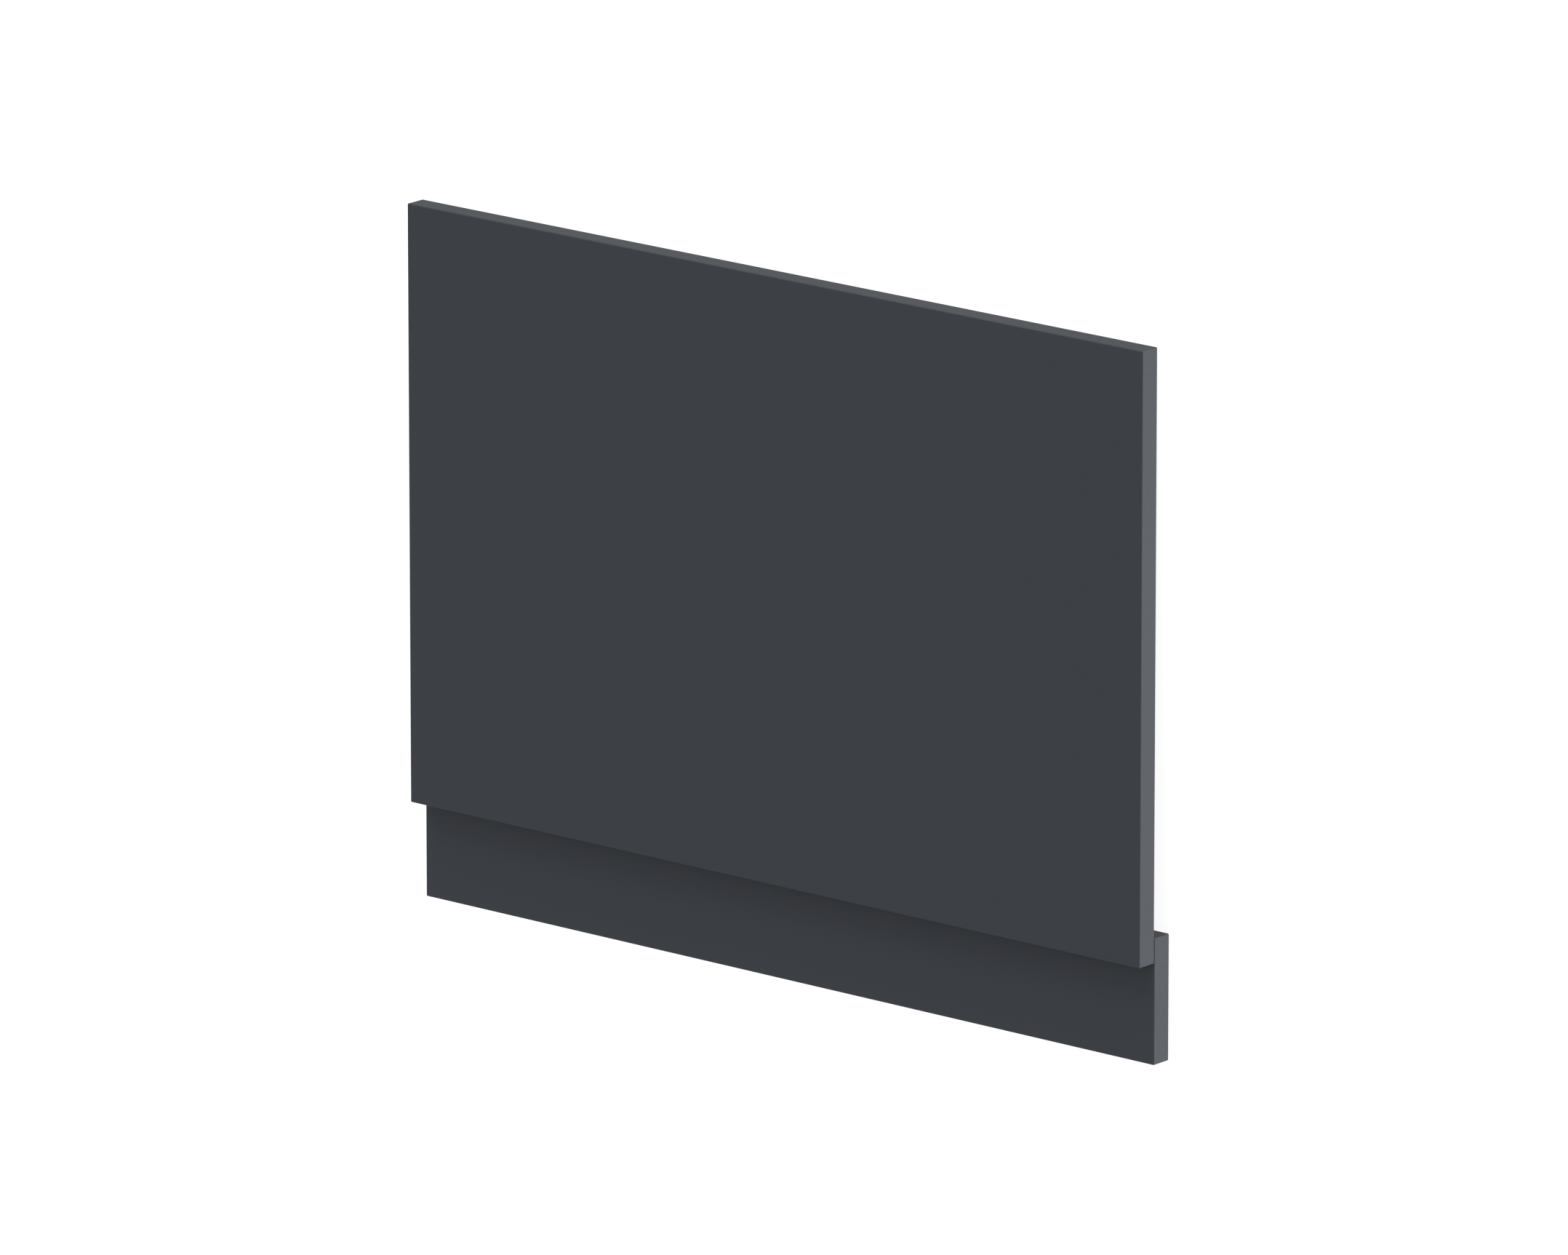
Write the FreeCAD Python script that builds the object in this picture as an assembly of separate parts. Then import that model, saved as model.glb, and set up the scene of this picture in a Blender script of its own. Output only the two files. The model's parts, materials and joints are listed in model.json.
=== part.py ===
"""End panel of a built-in bath, made of two boards and lying on its back.

The panel closes the end of the bath below the rim. The plinth is a lower board of the same width,
set behind the foot of the panel: it laps up the panel's back and reaches on down to the floor.
Every edge of both boards is eased by a small round, so a fine groove shows where they meet.
"""
import FreeCAD, Part
import math
import os

from FreeCAD import Placement, Rotation, Vector

# Driving dimensions, in millimetres
WIDTH = 730.0              # both boards, from side to side
PANEL_HEIGHT = 480.0
PANEL_THICKNESS = 18.0
PLINTH_HEIGHT = 100.0
PLINTH_THICKNESS = 18.0
PLINTH_LAP = 20.0          # how far the plinth reaches up behind the panel
EDGE_RADIUS = 1.0          # eased edges of both boards

# Levels up the panel, counted from the foot of the plinth
PANEL_FOOT = PLINTH_HEIGHT - PLINTH_LAP
PANEL_TOP = PANEL_FOOT + PANEL_HEIGHT


def board(height, thickness):
    """A board as wide as the bath end: X across it, Y up it and Z out of its face, every edge eased.

    The origin is at the middle of its foot, on its back.
    """
    face = Part.makePlane(WIDTH, height, Vector(-WIDTH / 2, 0, 0))
    blank = face.extrude(Vector(0, 0, thickness))
    return blank.makeFillet(EDGE_RADIUS, blank.Edges)


def plinth_board():
    """The lower board, whose back is the rearmost face of the pair."""
    return board(PLINTH_HEIGHT, PLINTH_THICKNESS)


def panel_board():
    """The main board, flat against the front of the plinth."""
    panel = board(PANEL_HEIGHT, PANEL_THICKNESS)
    panel.translate(Vector(0, PANEL_FOOT, PLINTH_THICKNESS))
    return panel


def resting_place(boards):
    """Where the pair comes to rest, face up on a level floor and centred over the origin.

    The plinth props up one end, so the pair leans until two back edges touch the floor: the one at
    the top of the plinth and the one at the top of the panel. Both edges have the same round, so the
    slope is the plinth's thickness over the length of panel that stands clear of the plinth.
    """
    slope = math.atan2(PLINTH_THICKNESS, PANEL_TOP - PLINTH_HEIGHT)
    lean = Placement(Vector(), Rotation(Vector(1, 0, 0), -math.degrees(slope)))
    leaning = Part.Compound(boards)
    leaning.Placement = lean
    box = leaning.optimalBoundingBox(False)
    to_origin = Vector(-box.Center.x, -box.Center.y, -box.ZMin)
    return Placement(to_origin, Rotation()).multiply(lean)


def main():
    """Lays the boards on the floor and writes one file for each."""
    boards = {"panel_board": panel_board(), "plinth_board": plinth_board()}
    rest = resting_place(list(boards.values()))
    os.makedirs("parts", exist_ok=True)
    for name, shape in boards.items():
        shape.transformShape(rest.toMatrix())
        shape.exportStep(f"parts/{name}.step")
        print(f"{name}: {shape.Volume / 1e6:.4f} dm3, {len(shape.Solids)} solid, valid {shape.isValid()}")


main()
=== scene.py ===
# %% [markdown]
# A bath end panel, dressed for its picture.
#
# The real object is two flat boards in one satin anthracite finish: a tall panel that closes the end of
# a built-in bath, and a low plinth set behind its foot. It lies on its back here, face up, with the
# plinth propping one end. The measured model already has every size, so this lesson gives it clean
# rounded edges, a finish that bears a close look, a floor, lights and a camera. Lengths are in metres.

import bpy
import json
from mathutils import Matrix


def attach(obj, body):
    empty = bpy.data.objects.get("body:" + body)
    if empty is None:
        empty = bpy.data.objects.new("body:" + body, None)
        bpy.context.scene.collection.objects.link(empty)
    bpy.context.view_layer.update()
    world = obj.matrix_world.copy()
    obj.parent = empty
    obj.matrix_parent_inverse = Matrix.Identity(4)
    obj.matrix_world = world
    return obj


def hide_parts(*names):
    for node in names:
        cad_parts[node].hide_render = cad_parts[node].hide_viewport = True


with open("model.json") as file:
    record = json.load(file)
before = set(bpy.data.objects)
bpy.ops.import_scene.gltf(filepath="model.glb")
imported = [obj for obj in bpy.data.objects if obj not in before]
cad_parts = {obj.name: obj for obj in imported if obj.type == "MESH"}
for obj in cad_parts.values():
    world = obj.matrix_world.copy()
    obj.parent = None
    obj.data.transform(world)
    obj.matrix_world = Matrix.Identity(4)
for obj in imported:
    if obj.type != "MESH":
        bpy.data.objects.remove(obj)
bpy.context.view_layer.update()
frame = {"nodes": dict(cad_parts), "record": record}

# %% [markdown]
# The boards lean a little, because the plinth lifts one end, so nothing on them runs along X, Y or Z
# except their width. Working in the panel's own axes makes every later step simple: across the panel,
# up the panel and out of its face. The axes could be typed in as an angle, but the record already states
# the directions of the faces that meet the bath and the floor, so two of those give the axes exactly.

# %% Find the panel's own axes
import json
import math

import bmesh
import bpy
import numpy as np
from mathutils import Matrix

mounts = {mount["name"]: mount for mount in frame["record"]["mounts"]}
panel_up = np.array(mounts["top_edge"]["axis"])
panel_out = -np.array(mounts["plinth_back"]["axis"])
panel_right = np.cross(panel_up, panel_out)
panel_axes = np.stack([panel_right, panel_up, panel_out])
lean = math.acos(panel_out[2])
print(f"the face leans {math.degrees(lean):.2f} degrees")


def board_extent(node_name):
    """Lowest and highest corner of a board along the panel's own axes, in metres."""
    vertices = frame["nodes"][node_name].data.vertices
    points = np.empty(len(vertices) * 3, np.float32)
    vertices.foreach_get("co", points)
    along = points.reshape(-1, 3) @ panel_axes.T
    return along.min(axis=0), along.max(axis=0)


panel_low, panel_high = board_extent("panel_board")
plinth_low, plinth_high = board_extent("plinth_board")
print("panel, mm:", np.round((panel_high - panel_low) * 1000, 2))
print("plinth, mm:", np.round((plinth_high - plinth_low) * 1000, 2))

# %% [markdown]
# A board is never left with knife edges: each edge is eased by a small round before the finish goes on.
# That round is what catches a thin line of light, and where two boards meet it leaves a fine dark
# groove. A cube with a Bevel modifier would do, but its shading needs mending afterwards. Here the
# surface is worked out instead. Take a small ball, given by longitude and latitude, cut it into eight
# through its middle, and pull the eighths apart to the corners of the board. The stretched rows and
# columns of the grid become the flat faces and the rounded edges between them.

# %% Work out an eased board
EDGE_RADIUS = 0.001
ARC_STEPS = 8


def eased_board_grid(low, high):
    """Points and faces of a board with rounded edges, in the panel's axes.

    With side the signs of a corner of the board, each point is
    middle + side * (half the board's size - radius) + radius * direction(longitude, latitude).
    """
    quarter = np.linspace(0, math.pi / 2, ARC_STEPS + 1)
    longitude = (quarter + np.arange(4)[:, None] * math.pi / 2).ravel()
    latitude = np.concatenate([quarter - math.pi / 2, quarter])
    side_right = np.repeat([1, -1, -1, 1], ARC_STEPS + 1)
    side_up = np.repeat([1, 1, -1, -1], ARC_STEPS + 1)
    side_out = np.repeat([-1, 1], ARC_STEPS + 1)
    around, above = np.meshgrid(longitude, latitude)
    level = np.cos(above)
    direction = np.stack([level * np.cos(around), level * np.sin(around), np.sin(above)], axis=-1)
    side = np.stack(np.broadcast_arrays(side_right, side_up, side_out[:, None]), axis=-1)
    points = (low + high) / 2 + side * ((high - low) / 2 - EDGE_RADIUS) + EDGE_RADIUS * direction

    # A face for each cell of the grid, the last column joined to the first, and one more on each open end
    rows, columns = around.shape
    index = np.arange(rows * columns).reshape(rows, columns)
    onward = np.roll(index, -1, axis=1)
    quads = np.stack([index[:-1], onward[:-1], onward[1:], index[1:]], axis=-1).reshape(-1, 4)
    corners = index[:, ::ARC_STEPS + 1]
    faces = np.concatenate([quads, corners[:1, ::-1], corners[-1:]])
    return points.reshape(-1, 3), faces


def outward_direction(points, low, high):
    """The surface's direction at each point: straight away from the nearest point of the board's core.

    The core is the board shrunk by the edge radius on every side.
    """
    away = points - np.clip(points, low + EDGE_RADIUS, high - EDGE_RADIUS)
    return away / np.linalg.norm(away, axis=1, keepdims=True)


print(f"eased edges: radius {EDGE_RADIUS * 1000:.1f} mm, a quarter turn in {ARC_STEPS} steps")

# %% [markdown]
# The ball's two poles put many points in one place, so these are merged. Smooth shading would guess each
# point's normal from the faces around it, and the wide flats would look bent, so each point is given its
# exact normal. It also gets a number that says how far round an edge it sits: nothing on a flat face and
# one in the middle of a rounded edge. The finish uses that number later, because film thins where it is
# pulled over an edge.

# %% Make the two boards
SAME_POINT = 1e-7
# The longest part of a normal is 1 on a flat face, and the root of a half in the middle of a rounded edge
MID_EDGE = 1 - math.sqrt(0.5)


def make_board(name, node_name, low, high):
    """A mesh object for one board, in the place of its measured node."""
    points, faces = eased_board_grid(low, high)
    mesh = bpy.data.meshes.new(name)
    mesh.from_pydata(points.tolist(), [], faces.tolist())
    merged = bmesh.new()
    merged.from_mesh(mesh)
    bmesh.ops.remove_doubles(merged, verts=merged.verts, dist=SAME_POINT)
    merged.to_mesh(mesh)
    merged.free()

    local = np.empty(len(mesh.vertices) * 3, np.float32)
    mesh.vertices.foreach_get("co", local)
    local = local.reshape(-1, 3)
    normals = outward_direction(local, low, high)
    mesh.vertices.foreach_set("co", (local @ panel_axes).astype(np.float32).ravel())
    mesh.normals_split_custom_set_from_vertices((normals @ panel_axes).tolist())
    round_the_edge = (1 - np.abs(normals).max(axis=1)) / MID_EDGE
    arris = mesh.attributes.new("arris", "FLOAT", "POINT")
    arris.data.foreach_set("value", np.clip(round_the_edge, 0, 1).astype(np.float32))
    mesh.update()

    board = bpy.data.objects.new(name, mesh)
    bpy.context.scene.collection.objects.link(board)
    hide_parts(node_name)
    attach(board, "root")
    print(f"{name}: {len(mesh.vertices)} points, {len(mesh.polygons)} faces")
    return board


panel = make_board("panel", "panel_board", panel_low, panel_high)
plinth = make_board("plinth", "plinth_board", plinth_low, plinth_high)

# %% [markdown]
# The finish, the floor and the sky are all made of nodes. These could be added and set one line at a
# time, but two small helpers keep the cells below short: one adds a node with its settings, and one adds
# the sum that most of the finish is made of, a value times a factor plus a base.

# %% Make two helpers for nodes
def add_node(tree, kind, **values):
    """A new node, with settings given by attribute name and input values by socket name."""
    node = tree.nodes.new(kind)
    for key, value in values.items():
        if key in node.inputs:
            node.inputs[key].default_value = value
        else:
            setattr(node, key, value)
    return node


def add_scaled(tree, value, factor, base):
    """A node for value * factor + base, where each of the three is a socket or a number."""
    node = add_node(tree, "ShaderNodeMath", operation="MULTIPLY_ADD")
    for socket, source in zip(node.inputs, (value, factor, base)):
        if isinstance(source, (int, float)):
            socket.default_value = source
        else:
            tree.links.new(source, socket)
    return node.outputs["Value"]


# %% [markdown]
# The finish is a satin anthracite film. From across a room it is one even tone. Close up it is not: it
# has a very fine grain that breaks up reflections, a faint orange peel a few millimetres across, slow
# changes of tone and gloss over a hand's width, and it is a little paler and smoother where it is pulled
# over an edge. A photograph of film would fix one size and one light, so the film is made from noise at
# three sizes. Both boards carry it, so it is built once, as a node group, and placed in each board's
# material. The group puts out a tone, a roughness and a height.

# %% Build the film group
FILM_GRAIN = 0.0005
FILM_PEEL = 0.005
FILM_CLOUD = 0.18
PEEL_OVER_GRAIN = 2


def film_noise(tree, size, detail):
    """Noise whose lumps are about size metres across."""
    return add_node(tree, "ShaderNodeTexNoise", Scale=1 / size, Detail=detail)


def build_film_group():
    """The satin film: tone, roughness and height over the surface."""
    tree = bpy.data.node_groups.new("satin_film", "ShaderNodeTree")
    tree.interface.new_socket("Vector", in_out="INPUT", socket_type="NodeSocketVector")
    for name in ("Arris", "Tone Change", "Arris Tone", "Roughness", "Gloss Change", "Arris Gloss"):
        tree.interface.new_socket(name, in_out="INPUT", socket_type="NodeSocketFloat")
    for name in ("Tone", "Roughness", "Height"):
        tree.interface.new_socket(name, in_out="OUTPUT", socket_type="NodeSocketFloat")
    given = tree.nodes.new("NodeGroupInput").outputs
    result = tree.nodes.new("NodeGroupOutput").inputs

    grain = film_noise(tree, FILM_GRAIN, detail=2)
    peel = film_noise(tree, FILM_PEEL, detail=1)
    cloud = film_noise(tree, FILM_CLOUD, detail=3)
    for noise in (grain, peel, cloud):
        tree.links.new(given["Vector"], noise.inputs["Vector"])
    # Noise runs from 0 to 1, and a swing about no change from -1 to 1
    swing = add_scaled(tree, cloud.outputs["Fac"], 2, -1)

    even_tone = add_scaled(tree, swing, given["Tone Change"], 1)
    tone = add_scaled(tree, given["Arris"], given["Arris Tone"], even_tone)
    even_gloss = add_scaled(tree, swing, given["Gloss Change"], given["Roughness"])
    roughness = add_scaled(tree, given["Arris"], given["Arris Gloss"], even_gloss)
    height = add_scaled(tree, peel.outputs["Fac"], PEEL_OVER_GRAIN, grain.outputs["Fac"])
    for name, source in (("Tone", tone), ("Roughness", roughness), ("Height", height)):
        tree.links.new(source, result[name])
    return tree


film_group = build_film_group()
print("film group:", len(film_group.nodes), "nodes")

# %% [markdown]
# Each board's material places the group on Object coordinates, turned to the panel's own axes by a
# Mapping node, because the boards lean. A UV map could place it too, but it would leave seams, while
# noise on Object coordinates runs on round every edge. The boards were cut from different sheets, so each
# has its own offset in the pattern. What stays the same all over, the specular level, is set on the
# shader itself.

# %% Make the satin materials
ANTHRACITE = (0.044, 0.0503, 0.0615)
SATIN_SPECULAR = 0.3
FILM_VALUES = {
    "Tone Change": 0.03,
    "Arris Tone": 0.06,
    "Roughness": 0.65,
    "Gloss Change": 0.06,
    "Arris Gloss": -0.06,
}
FILM_HEIGHT = 0.0001
PANEL_SHEET = (0, 0, 0)
PLINTH_SHEET = (1.7, 0.4, 0)


def satin_material(name, sheet_offset):
    """Satin anthracite film on a board; sheet_offset moves the pattern so that boards differ."""
    material = bpy.data.materials.new(name)
    material.use_nodes = True
    tree = material.node_tree
    shader = tree.nodes["Principled BSDF"]
    shader.inputs["Specular IOR Level"].default_value = SATIN_SPECULAR

    where = add_node(tree, "ShaderNodeTexCoord")
    along = add_node(tree, "ShaderNodeMapping", Location=sheet_offset, Rotation=(lean, 0, 0))
    arris = add_node(tree, "ShaderNodeAttribute", attribute_name="arris")
    film = add_node(tree, "ShaderNodeGroup", node_tree=film_group)
    for socket, value in FILM_VALUES.items():
        film.inputs[socket].default_value = value
    colour = add_node(tree, "ShaderNodeVectorMath", operation="SCALE")
    colour.inputs["Vector"].default_value = ANTHRACITE
    bump = add_node(tree, "ShaderNodeBump", Distance=FILM_HEIGHT)

    for source, target in (
        (where.outputs["Object"], along.inputs["Vector"]),
        (along.outputs["Vector"], film.inputs["Vector"]),
        (arris.outputs["Fac"], film.inputs["Arris"]),
        (film.outputs["Tone"], colour.inputs["Scale"]),
        (colour.outputs["Vector"], shader.inputs["Base Color"]),
        (film.outputs["Roughness"], shader.inputs["Roughness"]),
        (film.outputs["Height"], bump.inputs["Height"]),
        (bump.outputs["Normal"], shader.inputs["Normal"]),
    ):
        tree.links.new(source, target)
    return material


for board, sheet_offset in ((panel, PANEL_SHEET), (plinth, PLINTH_SHEET)):
    material = satin_material(f"satin_anthracite_{board.name}", sheet_offset)
    board.data.materials.append(material)
    print(f"{material.name}: {len(material.node_tree.nodes)} nodes")

# %% [markdown]
# The floor is a wide light table, as in a studio for catalogue pictures: a pale sheet with lamps under
# it. It stays white wherever the camera looks, and it lights the boards' thin edges from low down. A
# white floor under strong lamps would look white too, but the lamps would throw dark shadows on it. For
# the camera alone the sheet glows more than it does for the boards, to reach a clean white.

# %% Lay the floor
FLOOR_REACH = 40.0
FLOOR_PALE = (0.25, 0.25, 0.25, 1)
FLOOR_ROUGHNESS = 0.9
FLOOR_SPECULAR = 0.1
FLOOR_GLOW = 0.5
FLOOR_SEEN = 0.9
WHITE = (1, 1, 1, 1)


def glow_for_camera(tree, strength, plain, seen):
    """Gives a strength socket the value seen where the camera looks, and plain for all other light."""
    path = add_node(tree, "ShaderNodeLightPath")
    change = add_scaled(tree, path.outputs["Is Camera Ray"], seen - plain, plain)
    tree.links.new(change, strength)


def make_floor():
    """A wide plain sheet under the object, glowing evenly."""
    reach = FLOOR_REACH
    corners = [(-reach, -reach, 0), (reach, -reach, 0), (reach, reach, 0), (-reach, reach, 0)]
    mesh = bpy.data.meshes.new("floor")
    mesh.from_pydata(corners, [], [(0, 1, 2, 3)])
    floor = bpy.data.objects.new("floor", mesh)
    bpy.context.scene.collection.objects.link(floor)
    material = bpy.data.materials.new("pale_floor")
    material.use_nodes = True
    shader = material.node_tree.nodes["Principled BSDF"].inputs
    shader["Base Color"].default_value = FLOOR_PALE
    shader["Roughness"].default_value = FLOOR_ROUGHNESS
    shader["Specular IOR Level"].default_value = FLOOR_SPECULAR
    shader["Emission Color"].default_value = WHITE
    glow_for_camera(material.node_tree, shader["Emission Strength"], FLOOR_GLOW, FLOOR_SEEN)
    mesh.materials.append(material)
    return floor


floor = make_floor()
print(f"{floor.name}: {2 * FLOOR_REACH:.0f} metres square")

# %% [markdown]
# Two broad soft lights stand far away, a strong one under the table beyond the panel's right side and a
# weaker one low beyond its top edge, so those thin edges come out lighter than the face. Light from below
# leaves each rounded edge as dark as the face for half of its turn, as in the picture. The table would
# stop a light under it, so only the boards are listed as what blocks these two: Blender calls that a
# blocker collection. Lamps close by would do too, but their light would fade along a board. From far away
# it is as strong at one end as at the other.

# %% Set the lights
LIGHT_BREADTH = math.radians(50)

shadow_makers = bpy.data.collections.new("shadow_makers")
for board in (panel, plinth):
    shadow_makers.objects.link(board)


def make_broad_light(name, towards, rise, strength):
    """A broad far light, rise degrees above the floor, that shines through the floor where it is below.

    Towards is its direction round the floor, in degrees from the panel's right side to its top edge.
    """
    light = bpy.data.lights.new(name, "SUN")
    light.angle = LIGHT_BREADTH
    light.energy = strength
    # Rays that leave a board by chance end at the floor, so the light is found by aiming at it alone
    light.cycles.use_multiple_importance_sampling = False
    lamp = bpy.data.objects.new(name, light)
    bpy.context.scene.collection.objects.link(lamp)
    lamp.light_linking.blocker_collection = shadow_makers
    tip = Matrix.Rotation(math.radians(90 - rise), 4, "Y")
    lamp.matrix_world = Matrix.Rotation(math.radians(towards), 4, "Z") @ tip
    return lamp


light_right = make_broad_light("light_right", towards=0, rise=-40, strength=3.0)
light_top = make_broad_light("light_top", towards=90, rise=12, strength=1.4)
for lamp in (light_right, light_top):
    print(lamp.name, "strength", round(lamp.data.energy, 2))

# %% [markdown]
# The face looks up, so what lights it is the sky. A big lamp overhead would do, but it would leave a
# brighter patch on the satin, and an even sky leaves none. Where the camera sees the sky itself, it is
# white, so no horizon shows. Blender's usual view transform softens bright tones and would turn that white
# to grey, so the Standard one is chosen.

# %% Light the sky
SKY_FILL = 0.615
SKY_SEEN = 1.0


def make_sky():
    """An even sky that looks white to the camera."""
    world = bpy.data.worlds.new("studio")
    world.use_nodes = True
    sky = world.node_tree.nodes["Background"].inputs
    sky["Color"].default_value = WHITE
    glow_for_camera(world.node_tree, sky["Strength"], SKY_FILL, SKY_SEEN)
    return world


bpy.context.scene.world = make_sky()
bpy.context.scene.view_settings.view_transform = "Standard"
print("sky strength", SKY_FILL, "and", SKY_SEEN, "where the camera sees it")

# %% [markdown]
# The picture was taken from far away with a long lens: the far edges are hardly shorter than the near
# ones. Its angles are round numbers in the panel's own axes, 40 degrees to the right of the face and
# 15 degrees above it, with a lens of 5 degrees. Those axes turn with the board, so the camera looks down
# on the lying panel and still sees it upright in the frame.

# %% Place the camera
VIEW_RIGHT = math.radians(40)
VIEW_ABOVE = math.radians(15)
LENS_ANGLE = math.radians(5)
VIEW_DISTANCE = 13.7095
AIM_ACROSS = 0.0151
AIM_ABOVE_FOOT = 0.2063
SIGHT_LIMIT = 60.0

camera_back = np.array([
    math.sin(VIEW_RIGHT) * math.cos(VIEW_ABOVE),
    math.sin(VIEW_ABOVE),
    math.cos(VIEW_RIGHT) * math.cos(VIEW_ABOVE),
])
camera_right = np.array([math.cos(VIEW_RIGHT), 0, -math.sin(VIEW_RIGHT)])
camera_up = np.cross(camera_back, camera_right)
aim = np.array([AIM_ACROSS, panel_low[1] + AIM_ABOVE_FOOT, panel_high[2]])

camera_data = bpy.data.cameras.new("camera")
camera_data.angle = LENS_ANGLE
camera_data.clip_end = SIGHT_LIMIT
camera = bpy.data.objects.new("camera", camera_data)
bpy.context.scene.collection.objects.link(camera)
placed = np.eye(4)
placed[:3, :3] = (np.stack([camera_right, camera_up, camera_back]) @ panel_axes).T
placed[:3, 3] = (aim + VIEW_DISTANCE * camera_back) @ panel_axes
camera.matrix_world = Matrix(placed.tolist())
bpy.context.scene.camera = camera
print("camera at", [round(float(value), 3) for value in camera.matrix_world.translation])
